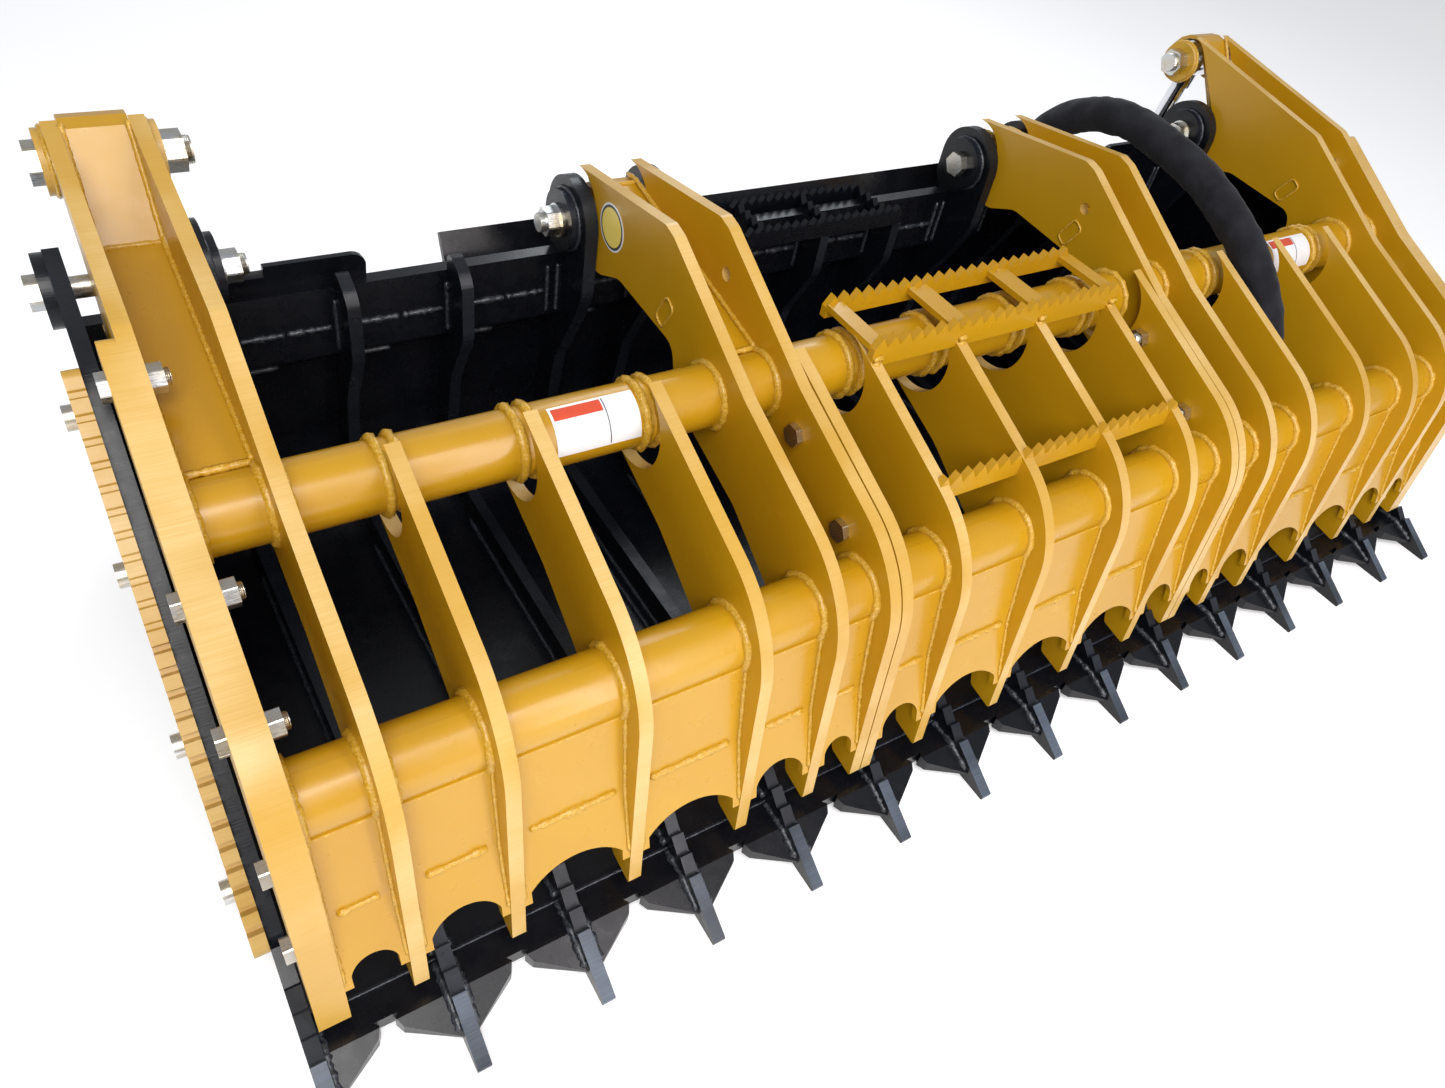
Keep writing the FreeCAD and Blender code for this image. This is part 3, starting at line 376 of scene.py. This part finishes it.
def weld_finish(name, base, light, roughness):
    """Painted weld metal: fine ripples, brighter on the crests, with small spatter pits."""
    g = Graph(name)
    ripple = g.noise(420.0, 3.0)
    colour = g.mix(g.ramp(ripple, 0.45, 0.65), base, light)
    normal = g.bump(ripple, 0.55, 0.0012, g.bump(g.noise(130.0, 2.0), 0.5, 0.0015))
    return g.finish(colour, g.ramp(ripple, 0.3, 0.7, roughness, roughness + 0.15), normal, coat=0.3)


def zinc_finish():
    """Zinc plate: brushed grain, faint blue and straw passivation."""
    g = Graph("zinc_plate")
    grain = g.noise(700.0, 3.0, g.scaled(0.15, 1.0, 1.0))
    colour = g.mix(g.ramp(g.noise(38.0, 3.0), 0.35, 0.65), (0.66, 0.68, 0.70, 1), (0.62, 0.56, 0.44, 1))
    rough = g.ramp(grain, 0.3, 0.7, 0.22, 0.42)
    return g.finish(colour, rough, g.bump(grain, 0.12, 0.0003), metallic=1.0)


def chrome_finish():
    """Hard chrome on the rods: faint scratches drawn out along them."""
    g = Graph("hard_chrome")
    scratches = g.noise(900.0, 2.0, g.scaled(1.0, 1.0, 0.05))
    colour = g.mix(g.ramp(g.noise(20.0, 2.0), 0.4, 0.7), (0.74, 0.75, 0.77, 1), (0.62, 0.63, 0.66, 1))
    rough = g.ramp(scratches, 0.4, 0.7, 0.06, 0.16)
    return g.finish(colour, rough, g.bump(scratches, 0.04, 0.0002), metallic=1.0)


def sleeve_finish():
    """Woven nylon hose sleeve: fine crossed threads, matt, with dusty folds."""
    g = Graph("woven_sleeve")
    weave = g.math("MAXIMUM", g.threads("X"), g.threads("Z"))
    dust = g.ramp(g.noise(30.0, 4.0), 0.4, 0.75)
    colour = g.mix(dust, (0.0045, 0.005, 0.008, 1), (0.013, 0.014, 0.020, 1))
    normal = g.bump(weave, 0.35, 0.0006, g.bump(g.noise(48.0, 3.0), 0.5, 0.004))
    material = g.finish(colour, g.ramp(weave, 0.2, 0.9, 0.95, 0.75), normal, specular=0.25)
    g.shader.inputs["Sheen Weight"].default_value = 0.08
    g.shader.inputs["Sheen Roughness"].default_value = 0.5
    return material


def print_finish(name, colour, second):
    """Printed vinyl: nearly even colour with faint mottling and a satin face."""
    g = Graph(name)
    shade = g.mix(g.ramp(g.noise(80.0, 3.0), 0.3, 0.8, 0.0, 0.5), colour, second)
    rough = g.ramp(g.noise(150.0), 0.3, 0.7, 0.28, 0.4)
    return g.finish(shade, rough, g.bump(g.noise(300.0), 0.03, 0.0003))


MATERIALS = {
    "plate": painted_plate("ochre_plate", OCHRE, OCHRE_DEEP, OCHRE_EDGE_WEAR_AND_HIGHLIGHT, 0.34, 0.22, 0.50),
    "tube": painted_smooth("ochre_tube", OCHRE, OCHRE_DEEP, 0.30),
    "weld": weld_finish("ochre_weld", OCHRE, (0.66, 0.42, 0.08, 1), 0.28),
    "black": painted_plate("black_plate", BLACK, BLACK_DUSTY, BLACK_WORN, 0.28, 0.30, 0.10, 0.08),
    "sheet": painted_smooth("black_sheet", BLACK, BLACK_DUSTY, 0.26, 0.08),
    "tooth": painted_plate("tooth_enamel", BLACK, BLACK_DUSTY, BLACK_WORN, 0.32, 0.55, 0.90, 0.1,
                           front_only=True),
    "black_weld": weld_finish("black_weld", (0.010, 0.012, 0.016, 1), (0.060, 0.070, 0.090, 1), 0.30),
    "zinc": zinc_finish(),
    "chrome": chrome_finish(),
    "sleeve": sleeve_finish(),
    "label": print_finish("label_white", (0.83, 0.84, 0.85, 1), (0.74, 0.75, 0.78, 1)),
    "label_band": print_finish("label_band", (0.62, 0.075, 0.03, 1), (0.50, 0.06, 0.03, 1)),
    "label_line": print_finish("label_line", (0.05, 0.05, 0.06, 1), (0.09, 0.09, 0.10, 1)),
    "label_yellow": print_finish("label_yellow", (0.92, 0.72, 0.16, 1), (0.86, 0.66, 0.14, 1)),
}

PAINT = {
    "plate": ("ribs_left", "ribs_middle", "ribs_right", "lid_side_left", "lid_side_right", "arm_1", "arm_2",
              "arm_3", "arm_4", "side_cutter_left", "side_cutter_right"),
    "tube": ("tubes_left", "tubes_middle", "tubes_right", "front_plate_left", "front_plate_middle",
             "front_plate_right", "arm_webs", "pivot_hubs", "lid_steps"),
    "black": ("side_plate_left", "side_plate_right", "inner_ribs", "pivot_lugs", "lug_bosses",
              "coupler_gussets", "cylinder_brackets"),
    "sheet": ("bucket_shell", "rail_beam", "coupler_plate", "barrel_left", "barrel_right", "rear_step",
              "cutting_edge", "wear_runners"),
    "tooth": tuple("tooth_%02d" % (k + 1) for k in range(TOOTH_COUNT)),
    "zinc": ("side_cutter_bolts", "pivot_bolts", "rod_pins", "lid_bolts", "base_pins", "hose_block",
             "hose_couplers"),
    "chrome": ("rod_left", "rod_right"),
}
NO_BEVEL = ("lid_steps", "rear_step", "tubes_left", "tubes_middle", "tubes_right")
BROKEN_EDGE = 0.0007


def paint_nodes():
    """Give every CAD node that shows its finish, and most a small broken edge that catches light."""
    for key, names in PAINT.items():
        for name in names:
            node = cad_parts[name]
            node.data.materials.clear()
            node.data.materials.append(MATERIALS[key])
            if name in NO_BEVEL:
                continue
            bevel = node.modifiers.new("broken_edge", "BEVEL")
            bevel.width = BROKEN_EDGE
            bevel.segments = 2
            bevel.limit_method = "ANGLE"
            bevel.angle_limit = math.radians(40)
            bevel.harden_normals = False


# ---- hose -----------------------------------------------------------------------------------------
def route_points():
    """Points along the NURBS line of the hose's route."""
    curve = bpy.data.curves.new("hose_route", "CURVE")
    curve.dimensions = "3D"
    curve.resolution_u = 14
    spline = curve.splines.new("NURBS")
    spline.points.add(len(HOSE_ROUTE) - 1)
    for point, place in zip(spline.points, HOSE_ROUTE):
        point.co = (*at(*place), 1.0)
    spline.order_u = 3
    spline.use_endpoint_u = True
    holder = bpy.data.objects.new("hose_route", curve)
    bpy.context.scene.collection.objects.link(holder)
    bpy.context.view_layer.update()
    mesh = bpy.data.meshes.new_from_object(holder)
    points = [v.co.copy() for v in mesh.vertices]
    bpy.data.objects.remove(holder)
    bpy.data.meshes.remove(mesh)
    return points


def make_hose():
    """Sleeved hose: a soft tube whose woven sleeve bunches into shallow folds."""
    line = route_points()
    fine = []
    for a, b in zip(line, line[1:]):
        fine.extend([a, a.lerp(b, 0.5)])
    fine.append(line[-1])

    def folds(k, angle):
        place = fine[k]
        swell = noise.noise(Vector((place.y * 24, place.z * 24, angle * 0.9)))
        crease = noise.noise(Vector((place.y * 70, place.z * 70, angle * 1.6)))
        return 0.950 + 0.045 * swell + 0.050 * crease

    bm = bmesh.new()
    sweep(bm, fine, HOSE_RADIUS, sides=40, wobble=folds)
    piece = add_piece("hose_sleeve", bm, MATERIALS["sleeve"], None)
    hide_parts("hose")
    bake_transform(piece)


# ---- welds ----------------------------------------------------------------------------------------
def section_plates():
    """(x, side faces that carry a tube weld) for every lid plate on the tubes, both halves."""
    plates = [(x, (1, -1)) for x in on_both_sides(OUTER_RIB_X)]
    plates += [(x, (1, -1)) for x in on_both_sides(MIDDLE_RIB_X[1:])]
    plates += [(x, (1, -1)) for x in on_both_sides(ARM_X[1:3])]
    for x, inward in ((ARM_X[0], -1), (ARM_X[3], 1), (MIDDLE_RIB_X[0], -1)):
        plates.append((x, (inward,)))
        plates.append((-x, (-inward,)))
    return plates


def tube_collars():
    """Fillet round both tubes on each face where a plate meets them."""
    bm = bmesh.new()
    for x, faces in section_plates():
        for face in faces:
            beside = x + face * (PLATE / 2 + 0.001)
            for tube in (UPPER_TUBE, LOWER_TUBE):
                bead(bm, circle(tube, TUBE_RADIUS + 0.001, beside), 0.0055, closed=True)
    add_piece("tube_collars", bm, MATERIALS["weld"], "lid")


def lid_bays():
    """(left, right) inner faces of every bay that has a front plate."""
    outer = sorted(OUTER_RIB_X + ARM_X)
    bays = []
    for a, b in zip(outer, outer[1:]):
        bays.extend([(a, b), (-b, -a)])
    middle = sorted(on_both_sides(MIDDLE_RIB_X))
    bays.extend(zip(middle, middle[1:]))
    return [(a + PLATE / 2, b - PLATE / 2) for a, b in bays]


def front_plate_welds():
    """Seam at each plate's bend, and thin beads where the plate meets its ribs and tube."""
    bm = bmesh.new()
    top, bend, foot = FRONT_PLATE
    scallop = (foot[0] + 0.004, foot[1] + 0.012)
    head = (top[0] + 0.001, top[1] - 0.002)
    for left, right in lid_bays():
        width = right - left
        start = left + 0.010 + random.random() * 0.06 * width
        stop = right - 0.012 - random.random() * 0.04 * width
        bead(bm, [at(start, bend[0] - 0.0005, bend[1]), at(stop, bend[0] - 0.0005, bend[1] + 0.002)],
             0.0042, rough=0.35)
        for x in (left + 0.0012, right - 0.0012):
            corner = [at(x, p[0] - 0.0008, p[1]) for p in (top, bend, scallop)]
            bead(bm, corner, 0.0026, rough=0.3)
        bead(bm, [at(left + 0.006, *head), at(right - 0.006, *head)], 0.0018)
    add_piece("front_plate_welds", bm, MATERIALS["weld"], "lid")


def arm_welds():
    """Fillets along each arm's web, boss rings at the crank, tab slots and foothold tacks."""
    bm = bmesh.new()
    web_foot = (WEB_START[0], WEB_START[1] + 0.002)
    over_hub = (PIVOT[0] - 0.008, PIVOT[1] + 0.044)
    crank_top = (CRANK_PIN[0] - 0.017, CRANK_PIN[1] + 0.042)
    nose = (PIVOT[0] + 0.015, PIVOT[1] + 0.041)
    for side in (1, -1):
        for low, high, tail in ((ARM_X[1], ARM_X[0], crank_top), (ARM_X[3], ARM_X[2], nose)):
            inner = [low + PLATE / 2 + 0.0015, high - PLATE / 2 - 0.0015]
            for x in inner:
                path = [at(side * x, p[0], p[1] + 0.004) for p in (WEB_START, over_hub, tail)]
                bead(bm, path, 0.0035)
            bead(bm, [at(side * x, *over_hub) for x in inner], 0.0035)
            bead(bm, [at(side * x, *web_foot) for x in inner], 0.0040)
        for x, face in ((ARM_X[0] + PLATE / 2, 1), (ARM_X[1] - PLATE / 2, -1)):
            bead(bm, circle(CRANK_PIN, CRANK_BOSS_WELD, side * (x + face * 0.001)), 0.0030, closed=True)
        for x, face in ((ARM_X[1] - PLATE / 2, -1), (ARM_X[3] - PLATE / 2, -1), (ARM_X[2] + PLATE / 2, 1)):
            tab_slot(bm, side * x, side * face)
    for x in on_both_sides(MIDDLE_RIB_X[1:]):
        for place in STEP_TACKS:
            start = at(x - 0.006, *place)
            bead(bm, [start, start + Vector((0.012, 0.0, 0.001))], 0.0042, rough=0.4)
    add_piece("arm_welds", bm, MATERIALS["weld"], "lid")


def squared(value):
    """Turn a sine or cosine into a rounded rectangle's."""
    return math.copysign(abs(value) ** 0.45, value)


def tab_slot(bm, x, face):
    """Weld rim round a web tab's slot in an arm: a bead along a rounded rectangle."""
    turn = math.radians(90 + TAB_SLOT["tilt"])
    along = (math.cos(turn), math.sin(turn))
    across = (-along[1], along[0])
    rim = []
    count = 28
    for k in range(count):
        angle = 2 * math.pi * k / count
        a = TAB_SLOT["half_length"] * squared(math.cos(angle))
        b = TAB_SLOT["half_width"] * squared(math.sin(angle))
        rim.append(at(x + face * 0.0004, TAB_SLOT["centre"][0] + along[0] * a + across[0] * b,
                      TAB_SLOT["centre"][1] + along[1] * a + across[1] * b))
    bead(bm, rim, 0.0017, closed=True)


def bucket_welds():
    """Tooth fillets, stitched rail seam, rib and boss fillets."""
    bm = bmesh.new()
    on_floor = FLOOR + 0.001
    on_rail = RAIL["front"] - 0.0005
    under_rail = (RAIL["front"] + 0.012, RAIL["bottom"] + 0.001)
    edge_line = ((0.041, EDGE_TOP - 0.014), (0.079, EDGE_TOP + 0.0005), (0.118, EDGE_TOP + 0.0005))
    tooth_on_floor = (0.122, 0.178)
    rib_on_floor = (0.20, 0.73)
    rib_on_rail = (0.338, 0.412)
    for x in TOOTH_X:
        for face in (1, -1):
            beside = x + face * (PLATE / 2 + 0.0015)
            if abs(beside) > abs(TOOTH_X[0]):
                continue
            bead(bm, [at(beside, *p) for p in edge_line], 0.0048, rough=0.35)
            bead(bm, [at(beside, y, on_floor) for y in tooth_on_floor], 0.0050, rough=0.35)
    stops = sorted(TOOTH_X[1:-1] + on_both_sides(LUG_X))
    for a, b in zip(stops, stops[1:]):
        if b - a < 0.09:
            continue
        for start in (a + STITCH_GAP, b - STITCH_GAP - STITCH):
            bead(bm, [at(start, on_rail, RAIL["seam"]), at(start + STITCH, on_rail, RAIL["seam"])],
                 0.0042, rough=0.3)
        bead(bm, [at(a + 0.02, *under_rail), at(a + 0.06, *under_rail)], 0.0035)
    for x in stops:
        half = LUG_HALF if min(abs(abs(x) - lug) for lug in LUG_X) < 0.001 else PLATE / 2
        for face in (1, -1):
            side = x + face * (half + 0.0012)
            bead(bm, [at(side, on_rail, z) for z in rib_on_rail], 0.0030)
            bead(bm, [at(side, y, on_floor) for y in rib_on_floor], 0.0035, step=0.008)
    floor_seam = (FLOOR_FRONT, EDGE_TOP + 0.002)
    bead(bm, [at(-1.0, *floor_seam), at(1.0, *floor_seam)], 0.0016, step=0.006)
    for lug, face in ((LUG_X[0], -1), (LUG_X[1], 1), (LUG_X[2], -1)):
        for side in (1, -1):
            bead(bm, circle(PIVOT, PIVOT_BOSS_WELD, side * (lug + face * 0.0100)), 0.0028, closed=True)
    add_piece("bucket_welds", bm, MATERIALS["black_weld"], "bucket")


# ---- threads --------------------------------------------------------------------------------------
def thread(bm, centre, bolt, x0, x1):
    """Threaded bolt end along X: a ridged collar round the shank."""
    low, high = min(x0, x1), max(x0, x1)
    turns = int((high - low) / bolt["pitch"])
    sides = 24
    rings = []
    for k in range(turns * 2 + 1):
        reach = bolt["radius"] + (THREAD_CREST if k % 2 else THREAD_ROOT)
        ring = []
        for s in range(sides):
            angle = 2 * math.pi * s / sides
            ring.append(bm.verts.new(at(low + k * bolt["pitch"] / 2, centre[0] + reach * math.cos(angle),
                                        centre[1] + reach * math.sin(angle))))
        rings.append(ring)
    for first, second in zip(rings, rings[1:]):
        for s in range(sides):
            bm.faces.new((first[s], first[(s + 1) % sides], second[(s + 1) % sides], second[s]))
    bm.faces.new(rings[0][::-1])
    bm.faces.new(rings[-1])


def make_threads():
    """Bolt ends past their nuts: side bolts, seam bolts and crank pins, then the pivot bolts."""
    lid = bmesh.new()
    bucket = bmesh.new()
    for side in (1, -1):
        for plate, holes in ((ARM_X[0], SIDE_HOLES), (MIDDLE_RIB_X[0], BOLT_HOLES)):
            nut = plate - PLATE / 2 - SIDE_BOLT["nut"]
            for hole in holes:
                thread(lid, hole, SIDE_BOLT, side * (nut - SIDE_BOLT["shows"]), side * nut)
        nut = ARM_X[1] - PLATE / 2 - CRANK_BOLT["boss"] - CRANK_BOLT["nut"]
        thread(lid, CRANK_PIN, CRANK_BOLT, side * (nut - CRANK_BOLT["shows"]), side * nut)
        for lug, way in ((LUG_X[0], -1), (LUG_X[1], 1)):
            nut = lug + way * (LUG_HALF + PIVOT_BOLT["boss"] + PIVOT_BOLT["nut"])
            thread(bucket, PIVOT, PIVOT_BOLT, side * (nut + way * PIVOT_BOLT["shows"]), side * nut)
    add_piece("lid_threads", lid, MATERIALS["zinc"], "lid", smooth=False)
    add_piece("bucket_threads", bucket, MATERIALS["zinc"], "bucket", smooth=False)


# ---- labels ---------------------------------------------------------------------------------------
def tube_patch(name, x0, x1, low, high, material, lift):
    """Outer and inner face of a vinyl patch on the upper tube, between two x and two angles in degrees."""
    bm = bmesh.new()
    columns, rows = 6, 18
    for reach in (TUBE_RADIUS + lift, TUBE_RADIUS + lift - VINYL):
        grid = []
        for c in range(columns + 1):
            x = x0 + (x1 - x0) * c / columns
            row = []
            for r in range(rows + 1):
                angle = math.radians(low + (high - low) * r / rows)
                row.append(bm.verts.new(at(x, UPPER_TUBE[0] + reach * math.cos(angle),
                                           UPPER_TUBE[1] + reach * math.sin(angle))))
            grid.append(row)
        for c in range(columns):
            for r in range(rows):
                bm.faces.new((grid[c][r], grid[c + 1][r], grid[c + 1][r + 1], grid[c][r + 1]))
    return add_piece(name, bm, material, "lid")


def make_labels():
    """Blank labels: a coloured heading band and a divider, with no lettering or pictogram."""
    line = MATERIALS["label_line"]
    for name, x0, x1 in (("left", -0.622, -0.520), ("right", 0.672, 0.776)):
        tube_patch("label_%s" % name, x0, x1, 95, 182, MATERIALS["label"], 0.0006)
        split = x0 + (x1 - x0) * 0.60
        tube_patch("label_band_%s" % name, x0 + 0.003, split, 100, 121, MATERIALS["label_band"], 0.0009)
        tube_patch("label_line_%s" % name, split + 0.002, split + 0.0032, 99, 178, line, 0.0009)
    disc_label("roundel_edge", 0.0310, 0.0003, MATERIALS["label"])
    disc_label("roundel_rim", 0.0285, 0.0005, line)
    disc_label("roundel", 0.0252, 0.0007, MATERIALS["label_yellow"])


def disc_label(name, radius, lift, material):
    """Plain round sticker on the left face of the second arm."""
    bm = bmesh.new()
    x = -(ARM_X[2] + PLATE / 2)
    sides = 64
    outer = [bm.verts.new(p) for p in circle(ROUNDEL_CENTRE, radius, x - lift, sides)]
    inner = [bm.verts.new(p) for p in circle(ROUNDEL_CENTRE, radius, x + 0.0002, sides)]
    bm.faces.new(outer)
    bm.faces.new(inner[::-1])
    for k in range(sides):
        bm.faces.new((outer[k], outer[(k + 1) % sides], inner[(k + 1) % sides], inner[k]))
    add_piece(name, bm, material, "lid", smooth=False)


# ---- studio ---------------------------------------------------------------------------------------
def area_light(name, place, target, size, power, colour=(1, 1, 1), length=None):
    """Rectangular light at place that faces target, square unless it has a length."""
    data = bpy.data.lights.new(name, "AREA")
    data.shape = "RECTANGLE"
    data.size = size
    data.size_y = length or size
    data.energy = power
    data.color = colour
    light = bpy.data.objects.new(name, data)
    bpy.context.scene.collection.objects.link(light)
    light.location = place
    light.rotation_euler = (Vector(target) - Vector(place)).to_track_quat("-Z", "Y").to_euler()


def make_studio():
    """Pale floor, even light from the world, and three area lights."""
    bm = bmesh.new()
    bmesh.ops.create_grid(bm, x_segments=1, y_segments=1, size=14)
    floor = Graph("studio_floor")
    cloud = floor.ramp(floor.noise(0.8, 2.0), 0.3, 0.7)
    shade = floor.mix(cloud, (0.92, 0.92, 0.92, 1), (0.89, 0.89, 0.90, 1))
    material = floor.finish(shade, 0.8, floor.bump(floor.noise(60.0), 0.02, 0.001))
    floor.shader.inputs["Emission Color"].default_value = (1, 1, 1, 1)
    floor.shader.inputs["Emission Strength"].default_value = 0.30
    piece = add_piece("studio_floor", bm, material, None)
    piece.location.z = CAD_BOX[0][2] - 0.0005
    world = bpy.data.worlds.new("studio")
    world.use_nodes = True
    background = world.node_tree.nodes["Background"].inputs
    background["Color"].default_value = (0.94, 0.96, 1.0, 1)
    background["Strength"].default_value = 0.42
    bpy.context.scene.world = world
    bpy.context.scene.view_settings.view_transform = "Standard"
    area_light("key", (-1.5, -1.9, 2.7), (0, 0, 0.3), 1.5, 88, (1.0, 0.98, 0.96), 2.4)
    area_light("strip", (0.3, -2.7, 2.0), (0, -0.1, 0.3), 0.35, 50, (1.0, 0.93, 0.95), 4.2)
    area_light("rear", (1.4, 2.6, 2.6), (0, 0.2, 0.3), 1.6, 30, (0.88, 0.94, 1.0))


make_hose()
paint_nodes()
tube_collars()
front_plate_welds()
arm_welds()
bucket_welds()
make_threads()
make_labels()
make_studio()
